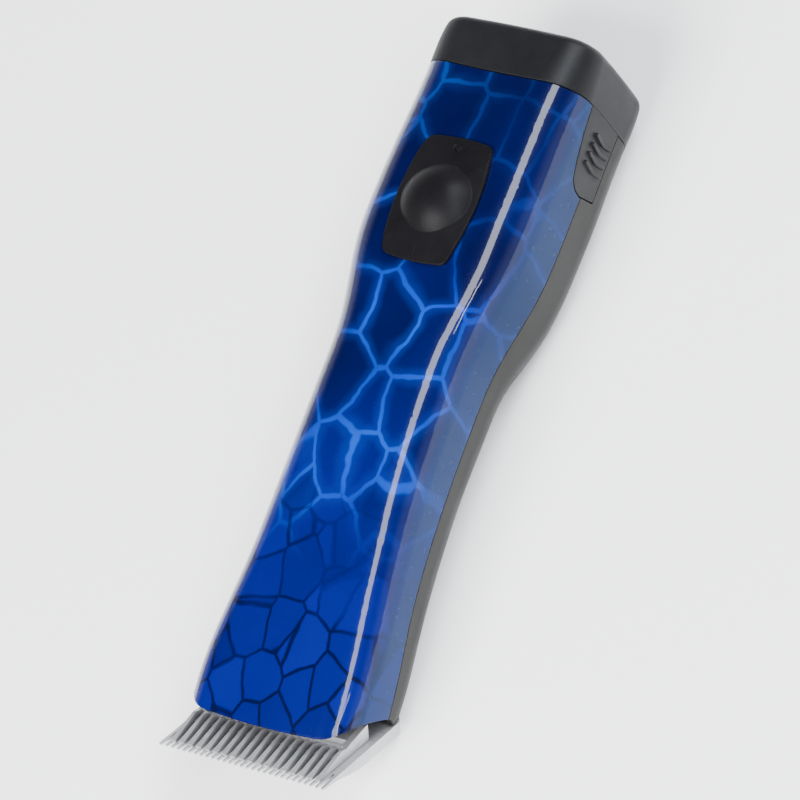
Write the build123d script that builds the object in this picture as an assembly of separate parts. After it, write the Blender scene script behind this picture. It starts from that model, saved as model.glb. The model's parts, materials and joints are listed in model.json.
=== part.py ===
from build123d import *
import os
from math import asin, cos, degrees, radians, sin

# Cordless animal clipper, lying on its back. Millimetres.
# +X points to the blade tips, +Y is the clipper's left side, +Z is the switch side.
# The origin is on the table under the middle of the clipper.

os.makedirs("parts", exist_ok=True)

# ---------------------------------------------------------------- overall sizes
overall_length = 202.8
battery_width = 49.0
waist_width = 40.0
head_width = 49.0
battery_height = 45.0
waist_top = 41.6
head_top = 27.0
waist_underside = 3.1
wall = 2.0
crown = 1.1              # bulge of the top and bottom faces
side_crown = 0.7         # bulge of the side faces

# ---------------------------------------------------------------- housing details
seam_groove = 0.32
seam_groove_depth = 0.7
cap_length = 14.8
cap_joint_radius = 240.0  # the joint bows a little towards the blades, seen from above
cap_gap = 0.3
latch_gap = 0.35
latch_length = 20.2
latch_low = 14.5
latch_seam = 0.1
latch_pin_behind_tip = 18.2
latch_pin_radius = 0.5
latch_knuckle_radius = 1.0
latch_knuckle_room = 0.3
latch_pin_clearance = 0.04
latch_lug_height = 4.0
latch_pin_length = 10.0
latch_pin_z = 22.5
latch_ear_gap = 0.3
latch_inner_y = 20.9
latch_hook_depth = 3.0
latch_hook_behind_tip = 3.5
latch_hook_low = 17.0
latch_hook_high = 25.0
latch_leaf_thickness = 0.3
latch_leaf_length = 8.0
latch_leaf_behind_tip = 4.0
latch_leaf_low = 18.0
latch_leaf_high = 24.0
grip_ridges = 4
grip_ridge_pitch = 2.6
grip_ridge_height = 0.55
grip_ridge_width = 0.9
grip_ridge_length = 9.6
grip_ridge_bend = 9.0
grip_ridge_z = 21.0
grip_ridge_sink = 0.4
grip_behind_tip = 15.6
screw_radius = 1.45
screw_head_radius = 2.7
screw_head_height = 1.7
screw_clearance = 0.15
boss_radius = 3.1
rear_boss_y = 15.2
front_boss_x = 56.5
front_boss_y = 16.5
screw_pilot_room = 0.6
screw_slot_depth = 0.9
screw_slot_half = 1.6
screw_slot_width = 0.7
guide_rail_width = 2.0
guide_rail_y = 11.0
guide_rail_low = 0.5
guide_rail_clearance = 0.2

# ---------------------------------------------------------------- battery pack
case_half_width = 19.4
case_bottom = 8.0
case_height = 25.6
case_wall = 1.0
case_front_x = -28.0
cell_radius = 9.1
cell_length = 64.0
cell_gap = 0.3
cell_end_room = 0.8
cell_lift = 0.2
cell_button_radius = 3.0
cell_button_height = 0.4
link_thickness = 0.4
link_half = 4.0
link_half_height = 3.0
protection_board_half = 12.0
protection_board_length = 36.0
protection_board_thickness = 1.0
protection_board_room = 0.6
terminal_size = 3.0
terminal_height = 6.0
terminal_proud = 0.3
terminal_y = (-7.5, 0.0, 7.5)
contact_gap = 0.1
contact_travel = 1.6
contact_radius = 0.9
contact_tail = 1.5
contact_block_thickness = 4.0
contact_block_half = 11.0
contact_block_half_height = 5.0
cap_screw_from_end = 9.0
cap_screw_y = 11.0
cap_screw_seat = 3.4
cap_screw_radius = 1.1
cap_screw_head_radius = 2.05
cap_screw_head_height = 1.2
cap_screw_head_clearance = 0.15
cap_boss_radius = 2.9

# ---------------------------------------------------------------- motor and drive
motor_z = 20.0
motor_radius = 13.6
motor_rear_x = -12.5
motor_length = 32.0
can_wall = 1.4
magnet_thickness = 3.0
magnet_split = 10.0
air_gap = 0.5
shaft_radius = 1.59
shaft_clearance = 0.03
bush_radius = 3.5
bush_length = 4.0
mount_thickness = 2.6
crank_disc_radius = 6.0
crank_disc_thickness = 3.5
crank_pin_radius = 1.5
crank_bearing_radius = 3.4
crank_bearing_length = 5.0
crank_clearance = 0.35
pivot_x = 52.5
pivot_radius = 2.0
pivot_clearance = 0.04
lever_thickness = 4.0
lever_width = 9.0
fork_arm = 2.6
cutter_stroke = 2.6
lever_hub_radius = 6.5
pivot_post_radius = 4.5
frame_half = 12.5
frame_plate_thickness = 3.0
frame_below_lever = 6.0
mount_screw_offset = 8.0
mount_screw_radius = 1.0
mount_screw_head_radius = 1.9
mount_screw_head_height = 0.9
clip_radius = 3.6
clip_thickness = 0.8
clip_below_pin_end = 0.4

# ---------------------------------------------------------------- blade set
blade_tilt = 39.5
tip_z = 27.6
comb_width = 49.0
comb_length = 38.0
comb_thickness = 3.4
comb_tip_thickness = 0.5
comb_bevel = 16.0
comb_corner = 4.0
comb_teeth = 29
comb_pitch = 1.72
comb_tooth_gap = 0.85
comb_tooth_length = 7.0
cutter_width = 44.4
cutter_setback = 2.0
cutter_rear = 24.4
cutter_height = 4.4
cutter_pitch = 2.55
cutter_slots = 17
cutter_slot = 0.84       # width at the cutting face
cutter_slot_flare = 0.17 # each side, for every millimetre up
cutter_fin_end = 12.5
cutter_end_rib = 1.8
cutter_ridge_floor = 1.4
cutter_slot_top = 12.0
cutter_bar_length = 7.0
cutter_bar_height = 3.2
slide_gap = 0.05
finger_length = 3.0
finger_width = 4.0
finger_clearance = 0.1
socket_width = 19.0
socket_front = 26.5
socket_height = 3.3
tongue_width = 12.0
tongue_thickness = 1.3
tongue_clearance = 0.15
hinge_pin_back = 2.4     # behind the comb's rear edge
hinge_pin_up = 0.2
hinge_pin_radius = 0.9
knuckle_radius = 1.75
hinge_clearance = 0.04
hinge_knuckle_half = 4.6
hinge_ear_gap = 0.3
hinge_arm_length = 9.5
hinge_plate_length = 4.0
hinge_arm_thickness = 1.8
finger_low = 1.0
finger_top = 7.5
finger_neck = 5.4
tongue_low = 0.9
blade_room = 0.4
blade_screw_along = -31.5
blade_screw_y = 7.9
blade_screw_radius = 1.0
blade_screw_head = 2.1
blade_screw_head_height = 1.3
tension_spring_thickness = 0.5
tension_spring_inner_y = 5.2
tension_spring_outer_y = 9.0

# ---------------------------------------------------------------- power switch
switch_x = -49.3
switch_length = 35.0
switch_end_width = 18.5
switch_middle_width = 23.0
switch_thickness = 1.6
switch_gap = 0.3
switch_travel = 4.0
dome_radius = 9.7
dome_height = 4.1
stem_width = 6.0
stem_length = 9.0
stem_clearance = 0.4
mark_offset = 14.7       # off and on marks, from the middle of the slider
mark_radius = 1.25
mark_line = 0.45
mark_depth = 0.25
switch_arch_radius = 90.0   # bulge of the slider along the clipper
switch_cross_radius = 60.0  # and across it
dome_sink = 0.6
carriage_top = 41.4
actuator_low = 40.4
actuator_length = 4.0
actuator_width = 3.0
switch_body_rear = 7.0
switch_body_half = 3.5
switch_body_top = 40.3

# ---------------------------------------------------------------- circuit board
board_top = 39.2
board_thickness = 1.2
board_rear = -65.5
board_front = -30.5
board_half = 11.5
board_post_y = 9.0
board_post_radius = 2.2
board_post_inset = 4.0
board_screw_radius = 0.8
board_screw_length = 2.6
board_screw_head_radius = 1.5
board_screw_head_height = 0.7

# ---------------------------------------------------------------- blade release latch
release_x = 52.5
release_width = 12.0
release_length = 13.0
release_travel = 2.5
release_clearance = 0.35
release_low = 0.35
release_grooves = 5
release_groove_pitch = 2.0
release_groove_size = 0.9
flange_low = 3.5
flange_rim = 1.6
flange_thickness = 1.2
release_spring_thickness = 0.4

rear_x = -overall_length / 2
tip_x = overall_length / 2 - comb_tip_thickness * sin(radians(blade_tilt))
far = 200.0
nodes = {}


def mix(low, high, share):
    return low + (high - low) * share


def box(x0, x1, y0, y1, z0, z1):
    return Pos((x0 + x1) / 2, (y0 + y1) / 2, (z0 + z1) / 2) * Box(x1 - x0, y1 - y0, z1 - z0)


def rod(x0, x1, radius, y=0.0, z=motor_z):
    return Pos((x0 + x1) / 2, y, z) * Rot(0, 90, 0) * Cylinder(radius, x1 - x0)


def pipe(x0, x1, radius, bore, y=0.0, z=motor_z):
    return rod(x0, x1, radius, y, z) - rod(x0 - 1, x1 + 1, bore, y, z)


def post(x, y, z0, z1, radius):
    return Pos(x, y, (z0 + z1) / 2) * Cylinder(radius, z1 - z0)


def profile(points, half_width=far / 2):
    """A prism across Y whose outline is drawn in the X-Z plane."""
    face = make_face(Plane.XZ * Polyline(*points, close=True))
    return extrude(face, half_width, both=True)


def joined(pieces):
    whole = pieces[0]
    for piece in pieces[1:]:
        whole = whole + piece
    return whole


# ---------------------------------------------------------------- body shape
# Each station: x, half width, top, underside, corner radius.
battery_half = battery_width / 2
waist_half = waist_width / 2
head_half = head_width / 2


def top_to_battery(share):
    return mix(waist_top, battery_height, share)


def top_to_head(share):
    return mix(waist_top, head_top, share)


STATIONS = [
    (rear_x + 13.5, battery_half - 0.6, battery_height - 0.9, 0.4, 11.0),
    (rear_x + 31.5, battery_half - 0.3, battery_height - 0.4, -0.3, 11.5),
    (-49.5, battery_half, battery_height, -0.5, 12.0),
    (-37.5, mix(waist_half, battery_half, 0.86), battery_height - 0.2, -0.5, 12.0),
    (-25.5, mix(waist_half, battery_half, 0.40), top_to_battery(0.65), 0.4, 12.0),
    (-14.5, mix(waist_half, battery_half, 0.05), top_to_battery(0.30), 2.7, 12.0),
    (-3.5, waist_half, waist_top, waist_underside, 11.5),
    (10.5, mix(waist_half, head_half, 0.05), top_to_head(0.08), waist_underside, 11.5),
    (30.5, mix(waist_half, head_half, 0.22), top_to_head(0.27), waist_underside - 0.8, 11.0),
    (50.5, mix(waist_half, head_half, 0.57), top_to_head(0.51), 0.8, 10.5),
    (tip_x - 35.5, mix(waist_half, head_half, 0.91), top_to_head(0.66), -0.4, 9.5),
    (tip_x - 20.5, head_half, top_to_head(0.81), -0.4, 8.5),
    (tip_x - 8.5, head_half - 0.1, head_top, -0.4, 7.5),
]
# The battery end is rounded: distance from the end, and how far the section is drawn in there.
END_ROUNDING = [(0.0, 2.6), (0.5, 1.3), (1.5, 0.45), (3.2, 0.05)]
END_HALF = battery_half - 0.9
END_TOP = battery_height - 1.6
END_UNDERSIDE = 1.2
END_CORNER = 9.2


def section(x, half, top, underside, corner, inset):
    """One cross-section: a rectangle with crowned faces and rounded corners, drawn in by inset."""
    half = half - inset
    top = top - inset
    underside = underside + inset
    side = half - side_crown
    low = underside + crown
    high = top - crown
    middle = (low + high) / 2
    outline = [
        ThreePointArc((-side, low), (0, underside), (side, low)),
        ThreePointArc((side, low), (half, middle), (side, high)),
        ThreePointArc((side, high), (0, top), (-side, high)),
        ThreePointArc((-side, high), (-half, middle), (-side, low)),
    ]
    face = make_face(Curve() + outline)
    rounded = fillet(face.vertices(), max(corner - inset, 2.5))
    across = Plane(origin=(x, 0, 0), x_dir=(0, 1, 0), z_dir=(1, 0, 0))
    return across * rounded


def body_solid(inset, rounded_end=True):
    sections = []
    if rounded_end:
        for distance, drawn_in in END_ROUNDING:
            x = rear_x + inset + distance
            sections.append(section(x, END_HALF, END_TOP, END_UNDERSIDE, END_CORNER, inset + drawn_in))
    for x, half, top, underside, corner in STATIONS:
        sections.append(section(x, half, top, underside, corner, inset))
    return loft(sections)


above_table = box(-far, far, -far, far, 0, far)
outer_body = body_solid(0) & above_table
inner_body = body_solid(wall) & box(-far, far, -far, far, wall * 0.8, far)

# The two housing shells meet on this curve, which runs down towards the blade.
seam_start = (-66.0, 21.0)
seam_points = [
    seam_start,
    (-37.5, 20.6),
    (-3.5, 20.0),
    (30.5, 18.2),
    (50.5, 16.2),
    (65.5, 13.2),
    (80.5, 9.6),
]


def region_above_seam(shift):
    curve = Spline(*[(x, z + shift) for x, z in seam_points], tangents=[(1, 0), (1, -0.26)])
    end = seam_points[-1]
    edge = Polyline(
        (end[0], end[1] + shift),
        (far, end[1] + shift - 4),
        (far, far),
        (-far, far),
        (-far, seam_start[1] + shift),
        (seam_start[0], seam_start[1] + shift),
    )
    face = make_face(Plane.XZ * (curve + edge))
    return extrude(face, far / 2, both=True)


# The cap meets the housing on an upright face that bows a little.
cap_joint_x = rear_x + cap_length


def behind_cap_joint(shift):
    return post(cap_joint_x + shift - cap_joint_radius, 0, -far / 2, far / 2, cap_joint_radius)


# Side window in both shells, filled by the battery latch.
latch_front = cap_joint_x + latch_length
window_rear = cap_joint_x - 6.0
window_points = [
    (window_rear, latch_low),
    (latch_front - 1.9, latch_low - 0.4),
    (latch_front, 22.1),
    (latch_front - 0.4, 25.2),
    (latch_front - 2.1, 27.9),
    (latch_front - 6.4, 29.4),
    (latch_front - 13.7, 31.2),
    (window_rear, 33.0),
]
side_window = profile(window_points)

# The blade set lies on a slanted face: x to the tips, z away from the comb.
blade_plane = Plane(
    origin=(tip_x, 0, tip_z),
    x_dir=(cos(radians(blade_tilt)), 0, sin(radians(blade_tilt))),
    z_dir=(-sin(radians(blade_tilt)), 0, cos(radians(blade_tilt))),
)


def on_blade(solid):
    return blade_plane.location * solid


def blade_point(along, up):
    point = blade_plane.from_local_coords((along, 0, up))
    return (point.X, point.Z)


hinge_along = -comb_length - hinge_pin_back
hinge_x, hinge_z = blade_point(hinge_along, hinge_pin_up)

# The housing's front edge, from the underside up to the top face.
front_low_x = hinge_x - 0.3
front_edge = [
    (front_low_x, -6),
    (front_low_x, blade_point(hinge_along, blade_room)[1]),
    blade_point(-comb_length + 5.5, blade_room),
    (tip_x - 25.9, head_top - 17.5),
    (tip_x - 24.9, head_top - 14.8),
    (tip_x - 23.2, head_top - 11.5),
    (tip_x - 21.3, head_top - 8.2),
    (tip_x - 19.2, head_top - 5.2),
    (tip_x - 17.0, head_top - 3.0),
    (tip_x - 14.7, head_top - 1.4),
    (tip_x - 11.3, head_top + 0.4),
    (tip_x - 4.5, head_top + 3.4),
]
ahead_of_front = profile(front_edge + [(far, head_top + 3.4), (far, -6)])

# ---------------------------------------------------------------- screws and bosses
rear_boss_x = (case_front_x + motor_rear_x) / 2 - 2.5
boss_places = [
    (rear_boss_x, rear_boss_y),
    (rear_boss_x, -rear_boss_y),
    (front_boss_x, front_boss_y),
    (front_boss_x, -front_boss_y),
]
boss_join = {rear_boss_x: 20.3, front_boss_x: 15.4}
screw_seat = {rear_boss_x: 8.5, front_boss_x: 6.2}
screw_end = {rear_boss_x: 32.0, front_boss_x: 25.0}


def shell_ring():
    ring = outer_body - inner_body
    ring = ring - behind_cap_joint(cap_gap / 2)
    ring = ring - ahead_of_front
    ring = ring - side_window
    return ring


def make_shells():
    ring = shell_ring()
    upper_region = region_above_seam(0)
    groove = region_above_seam(-seam_groove / 2) - region_above_seam(seam_groove / 2)
    groove = groove & (outer_body - body_solid(seam_groove_depth, rounded_end=False))
    upper = (ring & upper_region) - groove
    lower = (ring - upper_region) - groove
    for x, y in boss_places:
        join = boss_join[x]
        upper_boss = post(x, y, join, 60, boss_radius) & inner_body
        upper = upper + upper_boss
        upper = upper - post(x, y, join - 1, screw_end[x] + screw_pilot_room, screw_radius)
        lower_boss = post(x, y, -2, join, boss_radius) & outer_body
        lower = lower + lower_boss
        lower = lower - post(x, y, -2, join + 1, screw_radius + screw_clearance)
        lower = lower - post(x, y, -2, screw_seat[x], screw_head_radius + screw_clearance)
    slot_half = stem_width / 2 + stem_clearance
    slot_rear = switch_x - stem_length / 2 - stem_clearance
    slot_front = switch_x + stem_length / 2 + switch_travel + stem_clearance
    upper = upper - box(slot_rear, slot_front, -slot_half, slot_half, 30, 60)
    for y in (-board_post_y, board_post_y):
        for x in (board_rear + board_post_inset, board_front - board_post_inset):
            upper = upper + (post(x, y, board_top, 60, board_post_radius) & inner_body)
            upper = upper - post(x, y, board_top - 1, board_top + 3.0, board_screw_radius)
    rail = box(cap_joint_x + 3, case_front_x, -guide_rail_width / 2, guide_rail_width / 2,
               guide_rail_low, case_bottom - guide_rail_clearance)
    for y in (-guide_rail_y, guide_rail_y):
        lower = lower + (Pos(0, y, 0) * rail & outer_body)
    release_cut_x0 = release_x - release_length / 2 - release_travel - release_clearance
    release_cut_x1 = release_x + release_length / 2 + release_clearance
    release_half = release_width / 2 + release_clearance
    lower = lower - box(release_cut_x0, release_cut_x1, -release_half, release_half, -2, 4.4)
    opening_half = socket_width / 2 + 1.5
    pocket = box(hinge_x - knuckle_radius - 0.6, hinge_x + 9, -opening_half, opening_half, -2, 8)
    lower = lower - pocket
    return upper, lower


upper_shell, lower_shell = make_shells()
nodes["upper_shell"] = upper_shell
nodes["lower_shell"] = lower_shell


def plus_sign(x, y, top):
    thin = screw_slot_width / 2
    bar = box(x - far, x + far, y - thin, y + thin, 0, top)
    return bar + box(x - thin, x + thin, y - far, y + far, 0, top)


def make_housing_screws():
    screws = []
    for x, y in boss_places:
        seat = screw_seat[x]
        head = post(x, y, seat - screw_head_height, seat, screw_head_radius)
        shank = post(x, y, seat, screw_end[x], screw_radius)
        slot_top = seat - screw_head_height + screw_slot_depth
        cross = post(x, y, 0, slot_top, screw_slot_half) & plus_sign(x, y, slot_top)
        screws.append(head + shank - cross)
    return Compound(children=screws)


nodes["housing_screws"] = make_housing_screws()

# ---------------------------------------------------------------- battery pack
ring_all = outer_body - inner_body
case_rear_x = case_front_x - cell_length - 2 * (case_wall + cell_end_room)


def make_cap():
    cap = outer_body - body_solid(wall)
    cap = cap & behind_cap_joint(-cap_gap / 2)
    return cap


def make_battery():
    case = box(case_rear_x, case_front_x, -case_half_width, case_half_width,
               case_bottom, case_bottom + case_height)
    case = fillet(case.edges().filter_by(Axis.X), 4.0)
    hollow = box(case_rear_x + case_wall, case_front_x - case_wall,
                 -case_half_width + case_wall, case_half_width - case_wall,
                 case_bottom + case_wall, case_bottom + case_height - case_wall)
    hollow = fillet(hollow.edges().filter_by(Axis.X), 4.0 - case_wall)
    return case - hollow


nodes["battery_cap"] = make_cap()
case_solid = make_battery()
cell_y = cell_radius + cell_gap / 2
cell_z = case_bottom + case_wall + cell_radius + cell_lift
cell_x1 = case_front_x - case_wall - cell_end_room
cell_x0 = cell_x1 - cell_length
nodes["battery_cells"] = Compound(children=[
    rod(cell_x0, cell_x1, cell_radius, y, cell_z)
    + rod(cell_x1, cell_x1 + cell_button_height, cell_button_radius, y, cell_z)
    for y in (-cell_y, cell_y)
])
link_low = cell_z - link_half_height
link_high = cell_z + link_half_height
front_link_x = cell_x1 + cell_button_height
rear_link = box(cell_x0 - link_thickness, cell_x0, -cell_y - link_half, cell_y + link_half,
                link_low, link_high)
nodes["cell_links"] = Compound(children=[rear_link] + [
    box(front_link_x, front_link_x + link_thickness, y - link_half, y + link_half, link_low, link_high)
    for y in (-cell_y, cell_y)
])
protection_top = case_bottom + case_height - case_wall - protection_board_room
protection_front = cell_x1 - 4.0
nodes["protection_board"] = box(
    protection_front - protection_board_length, protection_front,
    -protection_board_half, protection_board_half,
    protection_top - protection_board_thickness, protection_top)
terminal_z = case_bottom + case_height / 2
terminal_low = terminal_z - terminal_height / 2
terminal_high = terminal_z + terminal_height / 2
terminals = []
for y in terminal_y:
    hole = box(case_front_x - case_wall, case_front_x, y - terminal_size / 2, y + terminal_size / 2,
               terminal_low, terminal_high)
    case_solid = case_solid - hole
    terminals.append(hole + box(case_front_x, case_front_x + terminal_proud, y - terminal_size / 2,
                                y + terminal_size / 2, terminal_low, terminal_high))
nodes["battery_case"] = case_solid
nodes["battery_terminals"] = Compound(children=terminals)

# Two screws hold the cap to the case from the back.
cap_screw_x = rear_x + cap_screw_from_end
cap_screws = []
for y in (-cap_screw_y, cap_screw_y):
    boss = post(cap_screw_x, y, 0.5, case_bottom, cap_boss_radius) & outer_body
    nodes["battery_cap"] = nodes["battery_cap"] + boss
    shank_top = case_bottom + case_wall
    recess = post(cap_screw_x, y, -1, cap_screw_seat, cap_screw_head_radius + cap_screw_head_clearance)
    nodes["battery_cap"] = nodes["battery_cap"] - recess
    nodes["battery_cap"] = nodes["battery_cap"] - post(cap_screw_x, y, -1, shank_top, cap_screw_radius)
    nodes["battery_case"] = nodes["battery_case"] - post(cap_screw_x, y, 5, shank_top + 1, cap_screw_radius)
    head_low = cap_screw_seat - cap_screw_head_height
    head = post(cap_screw_x, y, head_low, cap_screw_seat, cap_screw_head_radius)
    shank = post(cap_screw_x, y, cap_screw_seat, shank_top, cap_screw_radius)
    cross = box(cap_screw_x - 1.2, cap_screw_x + 1.2, y - 0.25, y + 0.25, 0, cap_screw_seat - 0.6)
    cap_screws.append(head + shank - cross)
nodes["battery_screws"] = Compound(children=cap_screws)

# ---------------------------------------------------------------- battery latches
latch_pin_x = latch_front - latch_pin_behind_tip
latch_pin_y = case_half_width + latch_knuckle_room + latch_knuckle_radius
lug_low = latch_pin_z - latch_lug_height / 2
lug_high = latch_pin_z + latch_lug_height / 2
pin_low = latch_pin_z - latch_pin_length / 2
pin_high = latch_pin_z + latch_pin_length / 2


def beside(side, x0, x1, y0, y1, z0, z1):
    """A box on the left (side 1) or right (side -1), with y0 and y1 measured outwards."""
    return box(x0, x1, min(side * y0, side * y1), max(side * y0, side * y1), z0, z1)


def make_latch(side):
    tongue_face = offset(make_face(Plane.XZ * Polyline(*window_points, close=True)), -latch_gap)
    tongue = extrude(tongue_face, far / 2, both=True)
    tongue = tongue - behind_cap_joint(latch_seam - cap_gap / 2)
    latch = ring_all & tongue & beside(side, -far, far, 5, far, -far, far)
    for index in range(grip_ridges):
        x = latch_front - grip_behind_tip + index * grip_ridge_pitch
        place = Pos(x, side * (battery_half - grip_ridge_sink), grip_ridge_z)
        half_bar = Pos(0, 0, grip_ridge_length / 4) * Box(
            grip_ridge_width, 2 * grip_ridge_height, grip_ridge_length / 2)
        latch = latch + place * Rot(0, -grip_ridge_bend, 0) * half_bar
        latch = latch + place * Rot(0, 180 + grip_ridge_bend, 0) * half_bar
    hook_front = latch_front - latch_hook_behind_tip
    hook = beside(side, hook_front - latch_hook_depth, hook_front, latch_inner_y, battery_half - wall,
                  latch_hook_low, latch_hook_high)
    lug = post(latch_pin_x, side * latch_pin_y, lug_low, lug_high, latch_knuckle_radius)
    lug = lug + beside(side, latch_pin_x - latch_knuckle_radius, latch_pin_x + latch_knuckle_radius,
                       latch_pin_y, battery_half - wall, lug_low, lug_high)
    bore = post(latch_pin_x, side * latch_pin_y, pin_low, pin_high, latch_pin_radius + latch_pin_clearance)
    return latch + hook + lug - bore


nodes["latch_left"] = make_latch(1)
nodes["latch_right"] = make_latch(-1)

# Two ears on the case carry each latch's pin.
latch_pins = []
for side in (-1, 1):
    for z0, z1 in ((pin_low, lug_low - latch_ear_gap), (lug_high + latch_ear_gap, pin_high)):
        ear = post(latch_pin_x, side * latch_pin_y, z0, z1, latch_knuckle_radius)
        ear = ear + beside(side, latch_pin_x - latch_knuckle_radius, latch_pin_x + latch_knuckle_radius,
                           case_half_width - case_wall / 2, latch_pin_y, z0, z1)
        nodes["battery_case"] = nodes["battery_case"] + ear
    pin = post(latch_pin_x, side * latch_pin_y, pin_low, pin_high, latch_pin_radius)
    nodes["battery_case"] = nodes["battery_case"] - pin
    latch_pins.append(pin)
nodes["latch_pins"] = Compound(children=latch_pins)

# Leaf springs press the latches outwards from the battery case.
leaf_front = latch_front - latch_leaf_behind_tip
nodes["latch_springs"] = Compound(children=[
    beside(side, leaf_front - latch_leaf_length, leaf_front, case_half_width,
           case_half_width + latch_leaf_thickness, latch_leaf_low, latch_leaf_high)
    for side in (-1, 1)
])

# ---------------------------------------------------------------- handle contacts
contact_x = case_front_x + terminal_proud + contact_gap
block_rear = contact_x + contact_travel
block_front = block_rear + contact_block_thickness
contact_block = box(block_rear, block_front, -contact_block_half, contact_block_half,
                    1.0, terminal_z + contact_block_half_height) & inner_body
contacts = []
for y in terminal_y:
    contact_block = contact_block - rod(block_rear - 1, block_front + 1, contact_radius, y, terminal_z)
    contacts.append(rod(contact_x, block_front + contact_tail, contact_radius, y, terminal_z))
nodes["contact_block"] = contact_block
nodes["contact_pins"] = Compound(children=contacts)

# ---------------------------------------------------------------- motor
motor_front_x = motor_rear_x + motor_length
mount_x0 = motor_front_x
mount_x1 = mount_x0 + mount_thickness
bell_x0 = motor_rear_x - 5.0
crank_x0 = mount_x1 + 1.2
crank_x1 = crank_x0 + crank_disc_thickness
bearing_x0 = crank_x1 + 0.6
bearing_x1 = bearing_x0 + crank_bearing_length
crank_centre_x = (bearing_x0 + bearing_x1) / 2
rear_arm = pivot_x - crank_centre_x
finger_along = -cutter_rear + finger_length / 2 + 0.8
finger_x = blade_point(finger_along, 2.0)[0]
front_arm = finger_x - pivot_x
crank_throw = cutter_stroke / 2 * rear_arm / front_arm
lever_swing = degrees(asin(cutter_stroke / 2 / front_arm))

can = rod(motor_rear_x, motor_front_x, motor_radius)
can = can - rod(motor_rear_x - 1, motor_front_x - can_wall, motor_radius - can_wall)
can = can - rod(motor_rear_x, motor_front_x + 1, bush_radius)
nodes["motor_can"] = can
bell = rod(bell_x0, motor_rear_x, motor_radius - 0.4)
bell = bell + rod(motor_rear_x, motor_rear_x + 2.0, motor_radius - can_wall)
bell = bell - rod(bell_x0 + 1.6, motor_rear_x + 3.0, 9.0)
bell = bell - rod(bell_x0 - 1, motor_rear_x, bush_radius)
nodes["motor_end_bell"] = bell
magnet_inner = motor_radius - can_wall - magnet_thickness
magnet_ring = pipe(motor_rear_x + 4, motor_front_x - 4, motor_radius - can_wall, magnet_inner)
nodes["motor_magnets"] = magnet_ring - box(-far, far, -magnet_split / 2, magnet_split / 2, -far, far)
bush_front = pipe(motor_front_x - can_wall - 2.0, mount_x0, bush_radius, shaft_radius + shaft_clearance)
bush_rear = pipe(bell_x0, bell_x0 + bush_length, bush_radius, shaft_radius + shaft_clearance)
nodes["motor_bushes"] = Compound(children=[bush_rear, bush_front])
nodes["motor_shaft"] = rod(bell_x0 - 1.0, crank_x1, shaft_radius)
rotor_radius = magnet_inner - air_gap
core = pipe(motor_rear_x + 7, motor_front_x - 7, rotor_radius, shaft_radius)
for turn in range(3):
    slot = box(motor_rear_x + 6, motor_front_x - 6, -1.0, 1.0, 4.0, rotor_radius + 1)
    core = core - Pos(0, 0, motor_z) * Rot(turn * 120, 0, 0) * slot
nodes["rotor_core"] = core
winding_rear = pipe(motor_rear_x + 4.5, motor_rear_x + 7, rotor_radius - 1.2, shaft_radius)
winding_front = pipe(motor_front_x - 7, motor_front_x - 4.5, rotor_radius - 1.2, shaft_radius)
nodes["rotor_windings"] = Compound(children=[winding_rear, winding_front])
nodes["commutator"] = pipe(motor_rear_x - 0.6, motor_rear_x + 3.8, 3.2, shaft_radius)
brush_leaves = []
for side in (-1, 1):
    y_in = side * 3.5
    y_out = side * 8.6
    brush_leaves.append(box(motor_rear_x - 0.2, motor_rear_x + 1.6, min(y_in, y_out), max(y_in, y_out),
                            motor_z - 1.5, motor_z + 1.5))
nodes["motor_brushes"] = Compound(children=brush_leaves)

disc = rod(crank_x0, crank_x1, crank_disc_radius) - rod(crank_x0 - 1, crank_x1 + 1, shaft_radius)
pin = rod(crank_x1, bearing_x1, crank_pin_radius, crank_throw)
nodes["crank"] = disc + pin
bearing = pipe(bearing_x0, bearing_x1, crank_bearing_radius, crank_pin_radius, crank_throw)
nodes["crank_bearing"] = bearing

# ---------------------------------------------------------------- drive frame
mount = rod(mount_x0, mount_x1, motor_radius + 0.5) - rod(mount_x0 - 1, mount_x1 + 1, bush_radius + 0.6)
lever_low = motor_z - lever_thickness / 2
lever_high = motor_z + lever_thickness / 2
floor_top = lever_low - frame_below_lever
floor_low = floor_top - frame_plate_thickness
floor_plate = box(mount_x0, front_boss_x + 6, -frame_half, frame_half, floor_low, floor_top) & inner_body
legs = box(mount_x0, mount_x0 + 9, -frame_half, frame_half, 1.0, floor_top) & inner_body
pivot_post = post(pivot_x, 0, floor_top, lever_low - 0.3, pivot_post_radius)
frame = mount + floor_plate + legs + pivot_post
frame = frame - post(pivot_x, 0, floor_top - 4, motor_z, pivot_radius)
nodes["drive_frame"] = frame
mount_screws = []
for y in (-mount_screw_offset, mount_screw_offset):
    screw_hole = rod(mount_x0 - 3, mount_x1 + 1, mount_screw_radius, y)
    nodes["drive_frame"] = nodes["drive_frame"] - screw_hole
    nodes["motor_can"] = nodes["motor_can"] - screw_hole
    head = rod(mount_x1, mount_x1 + mount_screw_head_height, mount_screw_head_radius, y)
    mount_screws.append(head + rod(mount_x0 - can_wall, mount_x1, mount_screw_radius, y))
nodes["motor_screws"] = Compound(children=mount_screws)

# ---------------------------------------------------------------- drive lever
pivot_top = lever_high + clip_thickness + 2 * clip_below_pin_end
nodes["lever_pivot_pin"] = post(pivot_x, 0, floor_low, pivot_top, pivot_radius)
clip_top = pivot_top - clip_below_pin_end
clip = post(pivot_x, 0, clip_top - clip_thickness, clip_top, clip_radius)
nodes["pivot_clip"] = clip - post(pivot_x, 0, 0, far, pivot_radius)
fork_inside = crank_bearing_radius + 2 * crank_throw + crank_clearance


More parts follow.
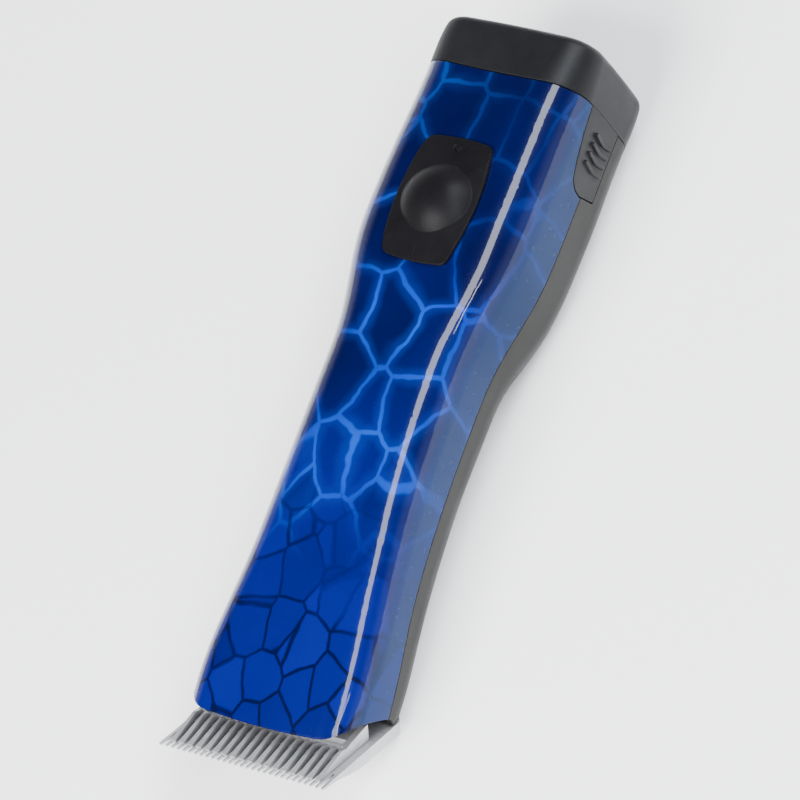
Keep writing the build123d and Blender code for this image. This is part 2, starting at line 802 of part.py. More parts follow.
def make_lever():
    fork_rear = bearing_x0 + 0.4
    fork_root = bearing_x1 + 3.0
    fork_outside = fork_inside + fork_arm
    fork = box(fork_rear, fork_root + 3, -fork_outside, fork_outside, lever_low, lever_high)
    fork = fork - box(fork_rear - 1, fork_root, -fork_inside, fork_inside, 0, far)
    bar = box(fork_root, finger_x - 3.0, -lever_width / 2, lever_width / 2, lever_low, lever_high)
    hub = post(pivot_x, 0, lever_low, lever_high, lever_hub_radius)
    finger = on_blade(box(finger_along - finger_length / 2, finger_along + finger_length / 2,
                          -finger_width / 2, finger_width / 2, finger_low, finger_top))
    neck = profile([
        (finger_x - 8.0, lever_high),
        (finger_x - 8.0, lever_low),
        blade_point(finger_along - finger_length / 2, finger_neck),
        blade_point(finger_along + finger_length / 2, finger_neck),
        blade_point(finger_along + finger_length / 2, finger_top),
    ], finger_width / 2)
    lever = fork + bar + hub + neck + finger
    return lever - post(pivot_x, 0, 0, far, pivot_radius + pivot_clearance)


nodes["drive_lever"] = make_lever()

# ---------------------------------------------------------------- head plate
pocket_half = socket_width / 2 + 1.2
pocket_up = socket_height + 1.3


def make_head_plate():
    near = 0.8
    thick = 2.2
    front = [(x - near, z) for x, z in front_edge]
    back = [(x - near - thick, z) for x, z in reversed(front_edge)]
    plate = profile(front + back)
    pocket = on_blade(box(-comb_length - 6, -socket_front + 2.0, -pocket_half, pocket_half, -4, pocket_up))
    walls = on_blade(box(-comb_length - 4.5, -socket_front + 3.2, -pocket_half - 1.2, pocket_half + 1.2,
                         -1.0, pocket_up + 1.2))
    walls = walls - ahead_of_front
    plate = (plate + walls) - pocket
    slot_half = lever_width / 2 + cutter_stroke / 2 + 0.7
    slot = on_blade(box(finger_along - 4.5, finger_along + 4.5, -slot_half, slot_half, 2.0, 14))
    plate = plate - slot
    plate = plate - box(hinge_x - knuckle_radius - 0.6, hinge_x + 3, -pocket_half, pocket_half, -6, 8)
    return plate & inner_body


nodes["head_plate"] = make_head_plate()

# ---------------------------------------------------------------- blade hinge


def across(y0, y1, radius, x=0.0, z=0.0):
    return Pos(x, (y0 + y1) / 2, z) * Rot(90, 0, 0) * Cylinder(radius, y1 - y0)


pin_half = socket_width / 2 - 0.5
nodes["hinge_pin"] = across(-pin_half, pin_half, hinge_pin_radius, hinge_x, hinge_z)
tongue = on_blade(
    box(hinge_along, -socket_front + 0.6, -tongue_width / 2, tongue_width / 2,
        tongue_low, tongue_low + tongue_thickness)
)
tongue = tongue - on_blade(box(-comb_length - 10, -comb_length + 0.2, hinge_knuckle_half, 20, -5, 9))
tongue = tongue - on_blade(box(-comb_length - 10, -comb_length + 0.2, -20, -hinge_knuckle_half, -5, 9))
tongue = tongue + across(-hinge_knuckle_half, hinge_knuckle_half, knuckle_radius, hinge_x, hinge_z)
tongue = tongue - across(-far, far, hinge_pin_radius + hinge_clearance, hinge_x, hinge_z)
nodes["hinge_tongue"] = tongue
hinge_arm_low = wall + 0.3
hinge_arm_top = hinge_arm_low + hinge_arm_thickness
hinge_rear_x = hinge_x - hinge_arm_length
hinge_ears = []
for side in (-1, 1):
    inner = hinge_knuckle_half + hinge_ear_gap
    y0, y1 = sorted((side * inner, side * pin_half))
    ear = across(y0, y1, knuckle_radius, hinge_x, hinge_z)
    arm = box(hinge_rear_x, hinge_x, y0, y1, hinge_arm_low, hinge_arm_top)
    ear = ear + arm
    ear = ear - across(-far, far, hinge_pin_radius, hinge_x, hinge_z)
    hinge_ears.append(ear)
hinge_plate = box(hinge_rear_x, hinge_rear_x + hinge_plate_length, -pin_half, pin_half,
                  hinge_arm_low, hinge_arm_top)
nodes["hinge_base"] = joined(hinge_ears + [hinge_plate])

# ---------------------------------------------------------------- comb blade
def make_comb():
    plate = profile([
        (0, 0),
        (0, -comb_tip_thickness),
        (-comb_bevel * 0.42, -comb_tip_thickness - 0.8),
        (-comb_bevel, -comb_thickness),
        (-comb_length + 0.6, -comb_thickness),
        (-comb_length, -comb_thickness + 0.6),
        (-comb_length, 0),
    ], comb_width / 2)
    plan = make_face(Polyline(
        (0, -comb_width / 2), (0, comb_width / 2),
        (-comb_length, comb_width / 2), (-comb_length, -comb_width / 2), close=True))
    rear_corners = plan.vertices().group_by(Axis.X)[0]
    plan = fillet(rear_corners, comb_corner)
    plate = plate & extrude(plan, 20, both=True)
    gaps = []
    count = comb_teeth - 1
    for index in range(count):
        y = (index - (count - 1) / 2) * comb_pitch
        root = comb_tooth_gap / 2
        mouth = comb_tooth_gap / 2 + 0.18
        slot = make_face(Polyline(
            (-comb_tooth_length, y - root * 0.6), (-comb_tooth_length + 1, y - root), (1, y - mouth),
            (1, y + mouth), (-comb_tooth_length + 1, y + root), (-comb_tooth_length, y + root * 0.6),
            close=True))
        gaps.append(extrude(slot, 6, both=True))
    plate = plate - gaps
    for y in (-blade_screw_y, blade_screw_y):
        plate = plate - post(blade_screw_along, y, -9, 9, blade_screw_radius)
        plate = plate - post(blade_screw_along, y, -9, blade_screw_seat, blade_screw_head)
    return on_blade(plate)


blade_screw_seat = -comb_thickness + 1.4
nodes["comb_blade"] = make_comb()

socket = box(-comb_length + 1.6, -socket_front, -socket_width / 2, socket_width / 2, 0, socket_height)
tunnel_half = tongue_width / 2 + tongue_clearance
socket = socket - box(-far, far, -tunnel_half, tunnel_half, tongue_low - tongue_clearance,
                      tongue_low + tongue_thickness + tongue_clearance)
socket = socket - box(-far, -comb_length + 4.4, -tunnel_half, tunnel_half, -1, 9)
lip_half = finger_width / 2 + cutter_stroke / 2 + 0.3
socket = socket - box(-far, far, -lip_half, lip_half, finger_low - 0.1, 9)
blade_screws = []
for y in (-blade_screw_y, blade_screw_y):
    socket = socket - post(blade_screw_along, y, -1, socket_height - 0.4, blade_screw_radius)
    head = post(blade_screw_along, y, blade_screw_seat - blade_screw_head_height, blade_screw_seat,
                blade_screw_head - 0.1)
    shank = post(blade_screw_along, y, blade_screw_seat, socket_height - 0.6, blade_screw_radius)
    slot = box(blade_screw_along - 3, blade_screw_along + 3, y - 0.35, y + 0.35, -9, -comb_thickness + 0.7)
    blade_screws.append(on_blade(head + shank - slot))
nodes["comb_socket"] = on_blade(socket)
nodes["blade_screws"] = Compound(children=blade_screws)

# ---------------------------------------------------------------- cutter blade
def make_cutter():
    front = -cutter_setback
    low = slide_gap
    slope = (cutter_height - 0.5) / (cutter_rear - cutter_setback)
    fin_top = 0.5 + slope * (cutter_fin_end - cutter_setback) + 0.9
    half = cutter_width / 2
    fins = profile([
        (front, low), (front, low + 0.5), (-cutter_fin_end, fin_top),
        (-cutter_fin_end - 1.6, fin_top - 0.3), (-cutter_fin_end - 2.2, low + 1.5),
        (-cutter_rear, low + 1.5), (-cutter_rear, low),
    ], half)
    ribs = profile([
        (front, low), (front, low + 0.5), (-cutter_rear + 1.0, cutter_height),
        (-cutter_rear, cutter_height), (-cutter_rear, low),
    ], half)
    inner = half - cutter_end_rib
    ribs = ribs - box(-far, far, -inner, inner, -9, 9)
    bar = box(-cutter_rear, -cutter_rear + cutter_bar_length, -half + 0.5, half - 0.5,
              low, cutter_bar_height)
    gaps = []
    high = cutter_slot_top
    ridge_floor = cutter_ridge_floor
    for index in range(cutter_slots):
        y = (index - (cutter_slots - 1) / 2) * cutter_pitch
        mouth = cutter_slot / 2
        top = mouth + cutter_slot_flare * high
        shoulder = mouth + cutter_slot_flare * ridge_floor
        through = make_face(Plane.YZ * Polyline(
            (y - mouth, -1), (y - mouth, 0), (y - top, high), (y + top, high), (y + mouth, 0),
            (y + mouth, -1), close=True))
        gaps.append(Pos(-cutter_fin_end + 1.5, 0, 0) * extrude(through, cutter_fin_end, dir=(1, 0, 0)))
        groove = make_face(Plane.YZ * Polyline(
            (y - shoulder, ridge_floor), (y - top, high), (y + top, high), (y + shoulder, ridge_floor),
            close=True))
        gaps.append(Pos(-cutter_fin_end - 2.4, 0, 0) * extrude(groove, 4.5, dir=(1, 0, 0)))
    cutter = fins + ribs + bar
    cutter = cutter - gaps
    notch_half = finger_width / 2 + finger_clearance
    notch = box(-far, finger_along + finger_length / 2 + 0.6, -notch_half, notch_half, 0.4, 12)
    return on_blade(cutter - notch)


nodes["cutter_blade"] = make_cutter()

# Two leaf springs under the socket's screws press the cutter down on the comb.
springs = []
for side in (-1, 1):
    leaf = beside(side, -socket_front - 6.5, -cutter_rear + 4.6,
                  tension_spring_inner_y, tension_spring_outer_y,
                  socket_height, socket_height + tension_spring_thickness)
    springs.append(on_blade(leaf))
nodes["tension_spring"] = Compound(children=springs)

# ---------------------------------------------------------------- blade release latch
release_half_length = release_length / 2
flange_top = flange_low + flange_thickness


def make_release():
    pad = box(release_x - release_half_length, release_x + release_half_length,
              -release_width / 2, release_width / 2, release_low, flange_low)
    for index in range(release_grooves):
        x = release_x + (index - (release_grooves - 1) / 2) * release_groove_pitch
        groove = Pos(x, 0, release_low) * Rot(0, 45, 0) * Box(
            release_groove_size, release_width + 2, release_groove_size)
        pad = pad - groove
    flange = box(release_x - release_half_length + 1.0, release_x + release_half_length,
                 -release_width / 2 - flange_rim, release_width / 2 + flange_rim,
                 flange_low, flange_top)
    return pad + flange


nodes["blade_release"] = make_release()
spring_foot = box(release_x - 4.0, release_x + 4.0, -2.5, 2.5,
                  flange_top, flange_top + release_spring_thickness)
spring_arm = Pos(release_x - 5.4, 0, flange_top + 1.65) * Rot(0, 40, 0) * Box(
    4.4, 5.0, release_spring_thickness)
nodes["release_spring"] = spring_foot + spring_arm

# ---------------------------------------------------------------- power switch
slider_top = battery_height + switch_gap + switch_thickness
slider_low = battery_height + switch_gap


def slider_outline():
    half = switch_length / 2
    end = switch_end_width / 2
    middle = switch_middle_width / 2
    edges = [
        ThreePointArc((-half + 0.8, -end), (0, -middle), (half - 0.8, -end)),
        ThreePointArc((half - 0.8, -end), (half, 0), (half - 0.8, end)),
        ThreePointArc((half - 0.8, end), (0, middle), (-half + 0.8, end)),
        ThreePointArc((-half + 0.8, end), (-half, 0), (-half + 0.8, -end)),
    ]
    return fillet(make_face(Curve() + edges).vertices(), 2.4)


def make_slider():
    plate = Pos(switch_x, 0, slider_low - 2.0) * extrude(slider_outline(), switch_thickness + 4.0)
    arch = Pos(switch_x, 0, slider_top - switch_arch_radius) * Rot(90, 0, 0) * Cylinder(
        switch_arch_radius, 60)
    cross = Pos(switch_x, 0, slider_top - switch_cross_radius) * Rot(0, 90, 0) * Cylinder(
        switch_cross_radius, 60)
    plate = plate & arch & cross
    plate = plate - body_solid(-switch_gap, rounded_end=False)
    ball_radius = (dome_radius ** 2 + dome_height ** 2) / (2 * dome_height)
    ball = Pos(switch_x, 0, slider_top + dome_height - dome_sink - ball_radius) * Sphere(ball_radius)
    dome = ball & post(switch_x, 0, slider_low + 0.3, slider_top + dome_height, dome_radius + 1.0)
    stem = box(switch_x - stem_length / 2, switch_x + stem_length / 2, -stem_width / 2, stem_width / 2,
               carriage_top, slider_low + 0.6)
    slider = plate + dome + stem
    ring = post(switch_x - mark_offset, 0, 0, far, mark_radius)
    ring = ring - post(switch_x - mark_offset, 0, 0, far, mark_radius - mark_line)
    bar = box(switch_x + mark_offset - mark_radius, switch_x + mark_offset + mark_radius,
              -mark_line / 2, mark_line / 2, 0, far)
    floor = slider_top - (mark_offset ** 2) / (2 * switch_arch_radius) - mark_depth
    return slider - ((ring + bar) & box(-far, far, -far, far, floor, far))


nodes["switch_slider"] = make_slider()
nodes["switch_actuator"] = box(
    switch_x - actuator_length / 2, switch_x + actuator_length / 2,
    -actuator_width / 2, actuator_width / 2, actuator_low, carriage_top)
nodes["control_board"] = box(board_rear, board_front, -board_half, board_half,
                             board_top - board_thickness, board_top)
nodes["power_switch"] = box(
    switch_x - switch_body_rear, switch_x + switch_body_rear + switch_travel,
    -switch_body_half, switch_body_half, board_top, switch_body_top)
board_screws = []
for y in (-board_post_y, board_post_y):
    for x in (board_rear + board_post_inset, board_front - board_post_inset):
        nodes["control_board"] = nodes["control_board"] - post(x, y, 30, 50, board_screw_radius)
        board_low = board_top - board_thickness
        head = post(x, y, board_low - board_screw_head_height, board_low, board_screw_head_radius)
        shank = post(x, y, board_low, board_top + board_screw_length, board_screw_radius)
        board_screws.append(head + shank)
nodes["board_screws"] = Compound(children=board_screws)

for name, shape in nodes.items():
    shape.label = name
    export_step(shape, os.path.join("parts", name + ".step"))

print("crank throw", round(crank_throw, 3), "lever swing", round(lever_swing, 3))
print("lever arms", round(rear_arm, 2), round(front_arm, 2), "hinge", round(hinge_x, 3), round(hinge_z, 3))
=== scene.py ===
import json
import math

import bpy
from mathutils import Matrix, Vector

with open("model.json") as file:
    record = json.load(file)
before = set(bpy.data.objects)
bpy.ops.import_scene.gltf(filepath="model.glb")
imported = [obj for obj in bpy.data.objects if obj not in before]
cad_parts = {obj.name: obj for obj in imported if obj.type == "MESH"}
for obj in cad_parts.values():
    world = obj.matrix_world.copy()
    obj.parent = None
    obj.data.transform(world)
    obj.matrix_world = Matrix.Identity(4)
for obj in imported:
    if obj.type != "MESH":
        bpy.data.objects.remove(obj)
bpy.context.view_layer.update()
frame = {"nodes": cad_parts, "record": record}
nodes = frame["nodes"]

MM = 0.001

# Print on the upper shell. X runs from the battery end to the blade tips, in metres.
WIDE_CELL = 14.5 * MM            # cells with light veins, over the handle
SMALL_CELL = 10.5 * MM           # cells with dark veins, near the blades
CRACKLE_WAVE = 110.0             # how often the cell outlines waver
CELL_STRETCH = (0.85, 1.1, 0.75)
DARK_VEINS_START = 0.022
DARK_VEINS_FULL = 0.050
ROYAL_START = -0.020
ROYAL_FULL = 0.055
FAINT_VEINS_FULL = -0.090
FAINT_VEINS_END = -0.020
SIDE_NORMAL = 0.62               # upward part of the normal where the top turns into the side

EDGE_SOFTNESS = 0.5 * MM
SLOT_REACH = 2.2 * MM            # how near a wall has to be for painted shade on the steel
BLADE_TILT = 39.5                # degrees

# Studio, in metres.
CENTRE = (0.0, 0.0, 20.0 * MM)
FLOOR_HALF = 4.0
LENS = 278.5                     # millimetres, on a 36 mm sensor
SENSOR = 36.0
CAMERA_AIM = (-3.5 * MM, -2.7 * MM, 20.0 * MM)
CAMERA_DISTANCE = 1.5684
TOWARDS_VIEWER = (0.2656, 0.5000, 0.8243)
CAMERA_UP = (-0.8898, -0.2020, 0.4092)
HORIZON_GLOW = 0.95
ZENITH_GLOW = 0.07

# ------------------------------------------------------------------ node helpers


SOCKET_NAMES = {"Coat Ior": "Coat IOR", "Specular": "Specular IOR Level"}


class Shader:
    """A material being built: short calls that add nodes and link them."""

    def __init__(self, name):
        self.material = bpy.data.materials.new(name)
        self.material.use_nodes = True
        self.tree = self.material.node_tree
        self.tree.nodes.clear()
        self.out = self.add("ShaderNodeOutputMaterial")
        self.bsdf = self.add("ShaderNodeBsdfPrincipled")
        self.link(self.bsdf.outputs[0], self.out.inputs[0])
        coordinates = self.add("ShaderNodeTexCoord")
        self.place = coordinates.outputs["Object"]
        self.facing = coordinates.outputs["Normal"]

    def add(self, kind, **settings):
        node = self.tree.nodes.new(kind)
        for key, value in settings.items():
            setattr(node, key, value)
        return node

    def link(self, source, target):
        self.tree.links.new(source, target)

    def feed(self, socket, value):
        """Links a socket, or sets a plain value on it."""
        if isinstance(value, bpy.types.NodeSocket):
            self.link(value, socket)
        else:
            socket.default_value = value

    def math(self, operation, first, second=0.0, third=0.0, clamp=False):
        node = self.add("ShaderNodeMath", operation=operation, use_clamp=clamp)
        self.feed(node.inputs[0], first)
        self.feed(node.inputs[1], second)
        self.feed(node.inputs[2], third)
        return node.outputs[0]

    def axis(self, name, vector=None):
        split = self.add("ShaderNodeSeparateXYZ")
        self.link(vector or self.place, split.inputs[0])
        return split.outputs[name]

    def moved(self, scale, offset=(0, 0, 0), turn=(0, 0, 0), place=None):
        node = self.add("ShaderNodeMapping")
        self.link(place or self.place, node.inputs["Vector"])
        node.inputs["Scale"].default_value = scale
        node.inputs["Location"].default_value = offset
        node.inputs["Rotation"].default_value = turn
        return node.outputs[0]

    def noise(self, scale, detail=2.0, rough=0.5, place=None, output="Fac"):
        node = self.add("ShaderNodeTexNoise")
        self.link(place or self.place, node.inputs["Vector"])
        node.inputs["Scale"].default_value = scale
        node.inputs["Detail"].default_value = detail
        node.inputs["Roughness"].default_value = rough
        return node.outputs[output]

    def ramp(self, value, low, high, from_low=0.0, from_high=1.0, smooth=False):
        node = self.add("ShaderNodeMapRange")
        node.interpolation_type = "SMOOTHSTEP" if smooth else "LINEAR"
        self.feed(node.inputs["Value"], value)
        node.inputs["From Min"].default_value = from_low
        node.inputs["From Max"].default_value = from_high
        node.inputs["To Min"].default_value = low
        node.inputs["To Max"].default_value = high
        return node.outputs[0]

    def mix(self, share, first, second, blend="MIX"):
        node = self.add("ShaderNodeMix", data_type="RGBA", blend_type=blend)
        self.feed(node.inputs["Factor"], share)
        for socket, value in ((node.inputs[6], first), (node.inputs[7], second)):
            if isinstance(value, tuple):
                value = (*value[:3], 1.0)
            self.feed(socket, value)
        return node.outputs[2]

    def open_share(self, reach):
        """How open the surface is to its surroundings: low in slots and under overhangs."""
        node = self.add("ShaderNodeAmbientOcclusion", samples=8)
        node.inputs["Distance"].default_value = reach
        return node.outputs["AO"]

    def bump(self, height, strength, distance, edge=0.0):
        """Surface grain; edge softens the look of sharp corners by that radius."""
        node = self.add("ShaderNodeBump")
        if edge:
            soft = self.add("ShaderNodeBevel", samples=6)
            soft.inputs["Radius"].default_value = edge
            self.link(soft.outputs[0], node.inputs["Normal"])
        self.feed(node.inputs["Height"], height)
        node.inputs["Strength"].default_value = strength
        node.inputs["Distance"].default_value = distance
        self.link(node.outputs[0], self.bsdf.inputs["Normal"])

    def set(self, **values):
        for key, value in values.items():
            name = key.replace("_", " ").title()
            name = SOCKET_NAMES.get(name, name)
            if isinstance(value, tuple) and len(value) == 3:
                value = (*value, 1.0)
            self.feed(self.bsdf.inputs[name], value)
        return self.material


# ------------------------------------------------------------------ materials


def crackle(shader, cell, offset, waviness):
    """Distance to the nearest cell edge and a random value for each cell, with wavy outlines."""
    shift = shader.add("ShaderNodeVectorMath", operation="MULTIPLY_ADD")
    shader.link(shader.noise(CRACKLE_WAVE, output="Color"), shift.inputs[0])
    shift.inputs[1].default_value = (waviness, waviness, waviness)
    shader.link(shader.place, shift.inputs[2])
    scaled = shader.moved(
        scale=tuple(stretch / cell for stretch in CELL_STRETCH),
        offset=offset,
        place=shift.outputs[0],
    )
    edge = shader.add("ShaderNodeTexVoronoi", feature="DISTANCE_TO_EDGE")
    cells = shader.add("ShaderNodeTexVoronoi", feature="F1")
    for texture in (edge, cells):
        shader.link(scaled, texture.inputs["Vector"])
        texture.inputs["Scale"].default_value = 1.0
        texture.inputs["Randomness"].default_value = 0.9
    split = shader.add("ShaderNodeSeparateColor")
    shader.link(cells.outputs["Color"], split.inputs[0])
    return edge.outputs["Distance"], split.outputs[0]


def grey(shader, value):
    """A grey colour from one value."""
    node = shader.add("ShaderNodeCombineColor")
    for socket in node.inputs[:3]:
        shader.link(value, socket)
    return node.outputs[0]


def blue_print():
    """Glossy lacquered print: navy cells with light veins, turning to royal blue with dark veins, and
    painted light on the sides.
    """
    s = Shader("printed_blue_lacquer")
    along = s.axis("X")
    wide, wide_tint = crackle(s, WIDE_CELL, (0.35, 0.2, 0.0), 3.2 * MM)
    small, small_tint = crackle(s, SMALL_CELL, (0.1, 0.7, 0.4), 2.0 * MM)
    blade_share = s.ramp(along, 0.0, 1.0, DARK_VEINS_START, DARK_VEINS_FULL, smooth=True)
    battery_share = s.ramp(along, 1.0, 0.0, FAINT_VEINS_FULL, FAINT_VEINS_END, smooth=True)
    cloud = s.noise(30.0, 3.0, 0.55)
    navy = s.mix(cloud, (0.0003, 0.0008, 0.014), (0.0006, 0.0026, 0.058))
    royal = s.mix(cloud, (0.0004, 0.0022, 0.064), (0.0008, 0.0045, 0.112))
    cell = s.mix(s.ramp(along, 0.0, 1.0, ROYAL_START, ROYAL_FULL, smooth=True), navy, royal)
    tint = s.mix(blade_share, grey(s, wide_tint), grey(s, small_tint))
    cell = s.mix(1.0, cell, s.mix(tint, (0.72, 0.72, 0.72), (1.35, 1.35, 1.35)), "MULTIPLY")
    electric = s.mix(s.noise(24.0, 1.0), (0.001, 0.020, 0.42), (0.002, 0.070, 0.36))
    faint = s.mix(cloud, (0.001, 0.010, 0.095), (0.0015, 0.030, 0.170))
    light_vein = s.mix(battery_share, electric, faint)
    body = s.ramp(wide, 1.0, 0.0, 0.016, 0.055, smooth=True)
    halo = s.ramp(wide, 0.22, 0.0, 0.02, 0.20, smooth=True)
    strength = s.ramp(s.noise(19.0, 2.0), 0.10, 1.0, 0.36, 0.62)
    amount = s.math("MULTIPLY", s.math("MAXIMUM", body, halo), strength)
    amount = s.math("MULTIPLY", amount, s.ramp(blade_share, 1.0, 0.0))
    colour = s.mix(amount, cell, light_vein)
    dark = s.ramp(small, 0.90, 0.0, 0.014, 0.060, smooth=True)
    dark_strength = s.ramp(s.noise(26.0, 2.0), 0.25, 1.0, 0.34, 0.55)
    dark = s.math("MULTIPLY", s.math("MULTIPLY", dark, dark_strength), blade_share)
    colour = s.mix(dark, colour, (0.0003, 0.0010, 0.016))
    upward = s.axis("Z", s.facing)
    # Painted light: the sides get a lighter blue, more of it the further the normal turns from upward.
    painted_side_light_share = s.ramp(upward, 0.5, 0.0, 0.0, SIDE_NORMAL, smooth=True)
    colour = s.mix(painted_side_light_share, colour, s.mix(cloud, (0.001, 0.022, 0.085), (0.002, 0.040, 0.125)))
    s.bump(s.noise(55.0, 1.0), 0.02, 0.4 * MM, edge=EDGE_SOFTNESS)
    s.set(base_color=colour, roughness=s.ramp(s.noise(420.0, 2.0), 0.22, 0.30))
    lacquer = s.ramp(upward, 0.10, 1.0, 0.0, SIDE_NORMAL, smooth=True)
    return s.set(coat_weight=lacquer, coat_roughness=0.03, coat_ior=1.38, specular=0.06)


def moulded(name, dark, light, rough, grain=1900.0, grain_height=0.04, specular=0.5):
    """Textured moulded plastic: fine spark-eroded grain, soft mottling and handling marks."""
    s = Shader(name)
    mottling = s.noise(38.0, 3.0, 0.6)
    fine = s.noise(grain, 2.0, 0.6)
    colour = s.mix(s.ramp(mottling, 0.0, 1.0, 0.3, 0.7), dark, light)
    speck = s.ramp(fine, 0.86, 1.12, 0.3, 0.7)
    colour = s.mix(1.0, colour, grey(s, speck), "MULTIPLY")
    worn = s.ramp(s.noise(75.0, 4.0, 0.65), rough - 0.05, rough + 0.07, 0.3, 0.7)
    s.bump(fine, 0.5, grain_height * MM, edge=EDGE_SOFTNESS)
    return s.set(base_color=colour, roughness=worn, specular=specular)


def ground_steel(name, base, rough, lines=2600.0):
    """Ground tool steel: fine grinding lines across the blade, an oil tone and painted shade in the
    slots.
    """
    s = Shader(name)
    grinding = s.moved(scale=(lines, 60.0, lines), turn=(0, math.radians(BLADE_TILT), 0))
    fine = s.noise(1.0, place=grinding)
    cloud = s.noise(95.0, 3.0, 0.55)
    darker = tuple(channel * 0.72 for channel in base)
    colour = s.mix(s.ramp(cloud, 0.0, 1.0, 0.3, 0.75), base, darker)
    colour = s.mix(s.ramp(fine, 0.0, 0.35, 0.35, 0.75), colour, (0.30, 0.30, 0.31))
    # Painted shade: the steel colour is darkened where walls are near, in the slots and under overhangs.
    shade = s.ramp(s.open_share(SLOT_REACH), 0.32, 1.0, 0.20, 0.75, smooth=True)
    colour = s.mix(1.0, colour, grey(s, shade), "MULTIPLY")
    s.bump(fine, 0.35, 0.02 * MM)
    return s.set(base_color=colour, metallic=0.72, roughness=s.ramp(fine, rough - 0.05, rough + 0.12))


def plain_metal(name, base, rough, scale=600.0):
    """Bare or plated metal with a fine surface grain."""
    s = Shader(name)
    fine = s.noise(scale, 3.0, 0.6)
    dark = tuple(channel * 0.75 for channel in base)
    s.bump(fine, 0.25, 0.02 * MM)
    colour = s.mix(fine, dark, base)
    return s.set(base_color=colour, metallic=1.0, roughness=s.ramp(fine, rough - 0.05, rough + 0.1))


materials = {
    "blue_shell": blue_print(),
    "grey_shell": moulded(
        "grey_satin_plastic", (0.014, 0.0135, 0.0125), (0.020, 0.0195, 0.0180), 0.46, specular=0.14
    ),
    "cap_plastic": moulded(
        "dark_satin_plastic", (0.0060, 0.0062, 0.0074), (0.0095, 0.0097, 0.0112), 0.44, specular=0.15
    ),
    "switch_plastic": moulded(
        "switch_satin_plastic", (0.0040, 0.0038, 0.0048), (0.0066, 0.0063, 0.0074), 0.42, specular=0.08
    ),
    "black_plastic": moulded("black_plastic", (0.006, 0.006, 0.007), (0.010, 0.010, 0.011), 0.5),
    "lever_plastic": moulded("lever_nylon", (0.55, 0.54, 0.50), (0.62, 0.61, 0.57), 0.45),
    "cell_wrap": moulded("cell_sleeve", (0.02, 0.20, 0.18), (0.03, 0.26, 0.22), 0.3, 900.0, 0.01),
    "board_green": moulded("circuit_board", (0.01, 0.10, 0.04), (0.015, 0.14, 0.06), 0.35, 1200.0, 0.02),
    "magnet": moulded("ferrite", (0.03, 0.03, 0.032), (0.045, 0.045, 0.048), 0.55, 2200.0, 0.03),
    "blade_steel": ground_steel("ground_blade_steel", (0.56, 0.56, 0.58), 0.42),
    "steel_screw": plain_metal("machined_steel", (0.50, 0.50, 0.51), 0.28),
    "motor_steel": plain_metal("plated_steel", (0.52, 0.53, 0.55), 0.33),
    "cast_alloy": plain_metal("cast_alloy", (0.50, 0.51, 0.53), 0.5, 900.0),
    "bronze": plain_metal("sintered_bronze", (0.50, 0.34, 0.16), 0.42, 1500.0),
    "brass": plain_metal("plated_brass", (0.70, 0.56, 0.30), 0.25),
    "copper": plain_metal("copper", (0.72, 0.33, 0.18), 0.32, 1200.0),
}

for entry in frame["record"]["subparts"]:
    node = nodes[entry["node"]]
    node.data.materials.clear()
    node.data.materials.append(materials[entry["material_slot"]])

# ------------------------------------------------------------------ studio


def area_light(name, place, width, height, power, tone=(1, 1, 1)):
    """A rectangular softbox aimed at the middle of the clipper."""
    data = bpy.data.lights.new(name, "AREA")
    data.shape = "RECTANGLE"
    data.size = width
    data.size_y = height
    data.energy = power
    data.color = tone
    lamp = bpy.data.objects.new(name, data)
    bpy.context.scene.collection.objects.link(lamp)
    direction = Vector(CENTRE) - Vector(place)
    turn = direction.to_track_quat("-Z", "Y").to_matrix().to_4x4()
    lamp.matrix_world = Matrix.Translation(place) @ turn


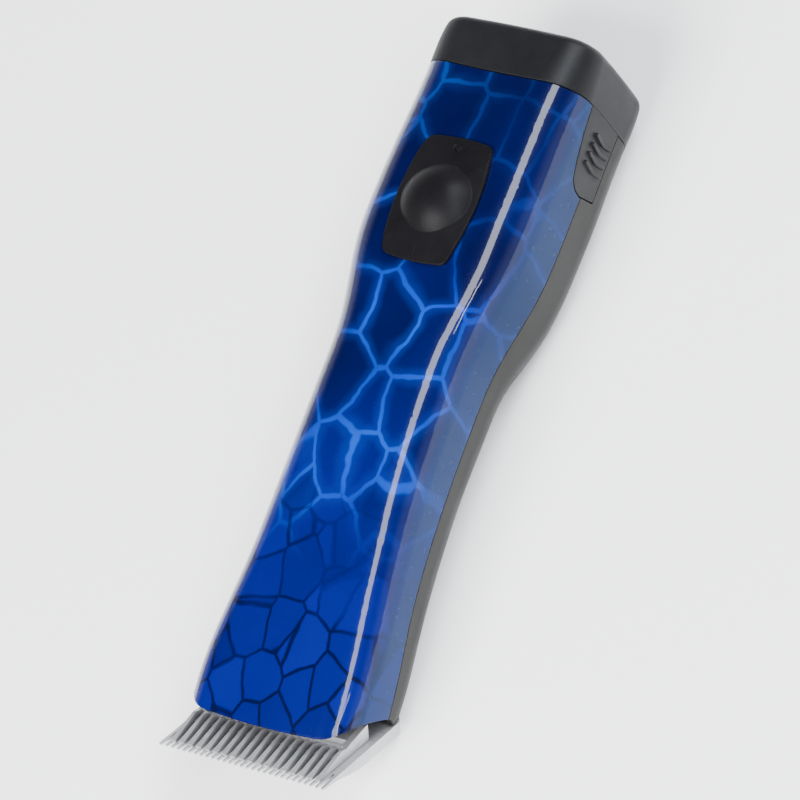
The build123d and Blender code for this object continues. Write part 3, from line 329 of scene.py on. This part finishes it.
def make_floor():
    """A plain pale floor under the clipper."""
    mesh = bpy.data.meshes.new("floor")
    half = FLOOR_HALF
    corners = [(-half, -half, 0), (half, -half, 0), (half, half, 0), (-half, half, 0)]
    mesh.from_pydata(corners, [], [(0, 1, 2, 3)])
    floor = bpy.data.objects.new("floor", mesh)
    bpy.context.scene.collection.objects.link(floor)
    s = Shader("pale_floor")
    tone = s.mix(s.noise(3.0, 2.0), (0.97, 0.97, 0.97), (0.985, 0.985, 0.985))
    mesh.materials.append(s.set(base_color=tone, roughness=0.75, specular=0.2))


def make_camera():
    """A long lens looking down at the switch side from beyond the left shoulder."""
    data = bpy.data.cameras.new("camera")
    data.sensor_width = SENSOR
    data.lens = LENS
    camera = bpy.data.objects.new("camera", data)
    bpy.context.scene.collection.objects.link(camera)
    towards_viewer = Vector(TOWARDS_VIEWER).normalized()
    up = Vector(CAMERA_UP)
    right = up.cross(towards_viewer).normalized()
    up = towards_viewer.cross(right)
    place = Vector(CAMERA_AIM) + towards_viewer * CAMERA_DISTANCE
    turn = Matrix((right, up, towards_viewer)).transposed().to_4x4()
    camera.matrix_world = Matrix.Translation(place) @ turn
    bpy.context.scene.camera = camera


def make_world():
    """Soft surroundings: bright near the horizon, dark overhead."""
    world = bpy.data.worlds.new("studio")
    bpy.context.scene.world = world
    world.use_nodes = True
    tree = world.node_tree
    background = tree.nodes["Background"]
    direction = tree.nodes.new("ShaderNodeTexCoord")
    split = tree.nodes.new("ShaderNodeSeparateXYZ")
    tree.links.new(direction.outputs["Generated"], split.inputs[0])
    fade = tree.nodes.new("ShaderNodeMapRange")
    fade.interpolation_type = "SMOOTHSTEP"
    tree.links.new(split.outputs["Z"], fade.inputs["Value"])
    fade.inputs["From Min"].default_value = 0.12
    fade.inputs["From Max"].default_value = 0.50
    fade.inputs["To Min"].default_value = HORIZON_GLOW
    fade.inputs["To Max"].default_value = ZENITH_GLOW
    tree.links.new(fade.outputs[0], background.inputs["Strength"])
    background.inputs["Color"].default_value = (0.97, 0.98, 1.0, 1.0)


make_floor()
make_world()
area_light("key_softbox", (0.95, -0.10, 1.10), 0.9, 0.9, 60.0)
area_light("rear_softbox", (-1.10, 0.60, 1.00), 0.7, 0.7, 14.0)
area_light("shoulder_strip", (-0.32, 0.56, 1.03), 1.7, 0.30, 26.0, (0.90, 0.94, 1.0))
area_light("head_strip", (0.42, 0.84, 0.86), 0.9, 0.05, 3.5, (0.90, 0.94, 1.0))
make_camera()
